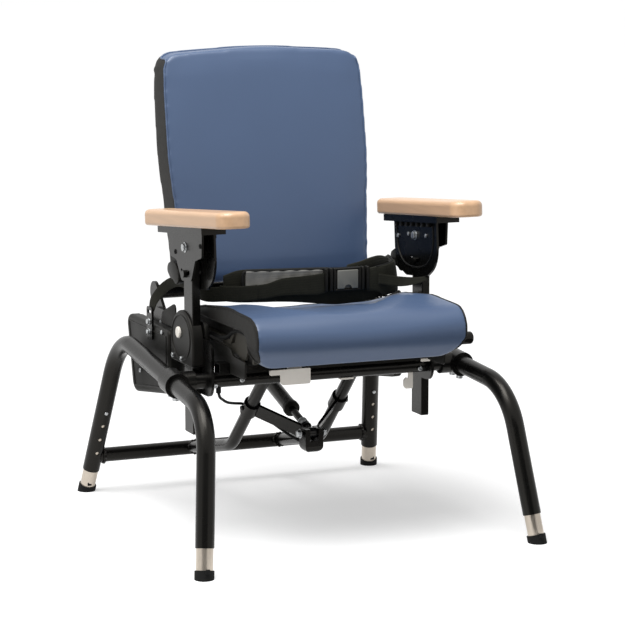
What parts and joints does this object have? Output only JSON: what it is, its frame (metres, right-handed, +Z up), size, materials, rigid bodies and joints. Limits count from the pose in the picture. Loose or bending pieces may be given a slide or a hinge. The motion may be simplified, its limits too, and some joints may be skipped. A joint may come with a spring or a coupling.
{
  "type": "pediatric positioning chair",
  "caption": "Blue vinyl pediatric positioning chair with hip belt, adjustable armrests, tilting seat and black tubular legs with telescoping ends",
  "frame": {"origin": "On the floor, midway between the four feet", "axes": "+Z up, the sitter faces -Y, +X is the sitter's left"},
  "size_m": [0.6472, 0.7142, 0.8368],
  "materials": {
    "black_powder_coat": "satin black powder coat",
    "black_moulding": "moulded black plastic",
    "black_rubber": "moulded black rubber",
    "silver_tube": "satin nickel-plated tube",
    "zinc_steel": "bright zinc-plated steel",
    "black_rod": "black nitrided rod",
    "white_plastic": "off-white moulded plastic",
    "grey_plastic": "mid-grey moulded plastic",
    "blue_vinyl": "satin blue upholstery vinyl over foam",
    "dark_vinyl": "dark warm-grey upholstery vinyl",
    "belt_webbing": "woven black webbing",
    "beech_look": "lacquered pale beech",
    "grey_steel": "grey powder-coated pressed steel",
    "cable_sheath": "black extruded cable sheath"
  },
  "bodies": {
    "base": {"left_side_frame": "black_powder_coat", "right_side_frame": "black_powder_coat", "left_frame_clamp": "black_powder_coat", "right_frame_clamp": "black_powder_coat", "left_strut": "black_powder_coat", "right_strut": "black_powder_coat", "front_crossbar": "black_powder_coat", "rear_crossbar": "black_powder_coat", "clamp_bolts": "zinc_steel", "leg_snap_buttons": "zinc_steel", "spring_hub": "black_powder_coat", "spring_straps": "black_powder_coat", "tilt_cable": "cable_sheath"},
    "gas_spring_rod": {"gas_spring_rod": "black_rod"},
    "gas_spring_cylinder": {"gas_spring_cylinder": "black_powder_coat"},
    "seat_unit": {"left_side_plate": "black_powder_coat", "right_side_plate": "black_powder_coat", "left_post_socket": "black_moulding", "right_post_socket": "black_moulding", "left_rear_housing": "black_moulding", "right_rear_housing": "black_moulding", "left_belt_strap": "belt_webbing", "right_belt_strap": "belt_webbing", "seat_front_rail": "black_powder_coat", "seat_rear_rail": "black_powder_coat", "seat_rails": "zinc_steel", "spring_bracket": "black_powder_coat", "back_pivot_pins": "zinc_steel", "belt_anchors": "black_powder_coat", "belt_buckle": "black_moulding"},
    "seat_carriage": {"seat_cushion": "blue_vinyl", "seat_boxing": "dark_vinyl", "seat_pan": "grey_steel", "seat_runners": "black_moulding"},
    "depth_lever": {"seat_depth_lever": "white_plastic"},
    "tilt_lever": {"tilt_release_lever": "black_powder_coat"},
    "backrest": {"back_cushion": "blue_vinyl", "back_board": "black_moulding", "back_spine": "black_powder_coat", "back_cross_tube": "black_powder_coat", "back_hinge_plates": "black_powder_coat"},
    "buckle_button": {"belt_buckle_button": "grey_plastic"},
    "left_front_leg": {"left_front_leg_extension": "silver_tube", "left_front_foot": "black_rubber"},
    "left_rear_leg": {"left_rear_leg_extension": "silver_tube", "left_rear_foot": "black_rubber"},
    "left_arm_post": {"left_arm_post": "black_powder_coat"},
    "left_arm_rest": {"left_arm_bracket": "black_powder_coat", "left_arm_pad": "beech_look", "left_arm_pivot_bolt": "zinc_steel"},
    "left_height_button": {"left_height_button": "white_plastic"},
    "right_front_leg": {"right_front_leg_extension": "silver_tube", "right_front_foot": "black_rubber"},
    "right_rear_leg": {"right_rear_leg_extension": "silver_tube", "right_rear_foot": "black_rubber"},
    "right_arm_post": {"right_arm_post": "black_powder_coat"},
    "right_arm_rest": {"right_arm_bracket": "black_powder_coat", "right_arm_pad": "beech_look", "right_arm_pivot_bolt": "zinc_steel"},
    "right_height_button": {"right_height_button": "white_plastic"}
  },
  "joints": [
    {"name": "tilt", "type": "hinge", "parent": "base", "child": "seat_unit", "pos_m": [0, -0.095, 0.28019], "axis": [-1, 0, 0], "range_deg": [-5, 20]},
    {"name": "gas_rod_swing", "type": "hinge", "parent": "base", "child": "gas_spring_rod", "pos_m": [0, -0.061, 0.165], "axis": [-1, 0, 0], "range_deg": [-5.5, 21.6]},
    {"name": "gas_cylinder_swing", "type": "hinge", "parent": "seat_unit", "child": "gas_spring_cylinder", "pos_m": [0, 0.165, 0.2317], "axis": [-1, 0, 0], "range_deg": [-0.5, 1.6]},
    {"name": "seat_depth", "type": "slide", "parent": "seat_unit", "child": "seat_carriage", "axis": [0, -1, 0], "range_m": [0, 0.075]},
    {"name": "depth_lever_pull", "type": "hinge", "parent": "seat_carriage", "child": "depth_lever", "pos_m": [0, -0.165, 0.318], "axis": [-1, 0, 0], "range_deg": [0, 15], "stiffness_Nm_per_rad": 1.5},
    {"name": "tilt_lever_lift", "type": "hinge", "parent": "seat_unit", "child": "tilt_lever", "pos_m": [0.211, -0.108, 0.33], "axis": [-1, 0, 0], "range_deg": [0, 14], "stiffness_Nm_per_rad": 2, "springref_deg": -17.19},
    {"name": "recline", "type": "hinge", "parent": "seat_unit", "child": "backrest", "pos_m": [0, 0.14, 0.345], "axis": [-1, 0, 0], "range_deg": [-5, 20]},
    {"name": "buckle_press", "type": "slide", "parent": "seat_unit", "child": "buckle_button", "axis": [0, 1, 0], "range_m": [0, 0.003], "stiffness_N_per_m": 800},
    {"name": "left_front_leg_length", "type": "slide", "parent": "base", "child": "left_front_leg", "axis": [0.1061, -0.2269, -0.9681], "range_m": [0, 0.0858]},
    {"name": "left_rear_leg_length", "type": "slide", "parent": "base", "child": "left_rear_leg", "axis": [0.1163, 0.303, -0.9459], "range_m": [0, 0.0858]},
    {"name": "left_arm_height", "type": "slide", "parent": "seat_unit", "child": "left_arm_post", "axis": [0, 0, 1], "range_m": [-0.03, 0.1]},
    {"name": "left_arm_angle", "type": "hinge", "parent": "left_arm_post", "child": "left_arm_rest", "pos_m": [0.21875, -0.05, 0.507], "axis": [-1, 0, 0], "range_deg": [-20, 15]},
    {"name": "left_height_button_press", "type": "slide", "parent": "seat_unit", "child": "left_height_button", "axis": [-1, 0, 0], "range_m": [0, 0.003], "stiffness_N_per_m": 800},
    {"name": "right_front_leg_length", "type": "slide", "parent": "base", "child": "right_front_leg", "axis": [-0.1061, -0.2269, -0.9681], "range_m": [0, 0.0858]},
    {"name": "right_rear_leg_length", "type": "slide", "parent": "base", "child": "right_rear_leg", "axis": [-0.1163, 0.303, -0.9459], "range_m": [0, 0.0858]},
    {"name": "right_arm_height", "type": "slide", "parent": "seat_unit", "child": "right_arm_post", "axis": [0, 0, 1], "range_m": [-0.03, 0.1]},
    {"name": "right_arm_angle", "type": "hinge", "parent": "right_arm_post", "child": "right_arm_rest", "pos_m": [-0.21875, -0.05, 0.507], "axis": [-1, 0, 0], "range_deg": [-20, 15]},
    {"name": "right_height_button_press", "type": "slide", "parent": "seat_unit", "child": "right_height_button", "axis": [1, 0, 0], "range_m": [0, 0.003], "stiffness_N_per_m": 800}
  ],
  "couplings": [
    {"joint": "gas_rod_swing", "follows": "tilt", "ratio": 1.075},
    {"joint": "gas_cylinder_swing", "follows": "tilt", "ratio": 0.075}
  ]
}
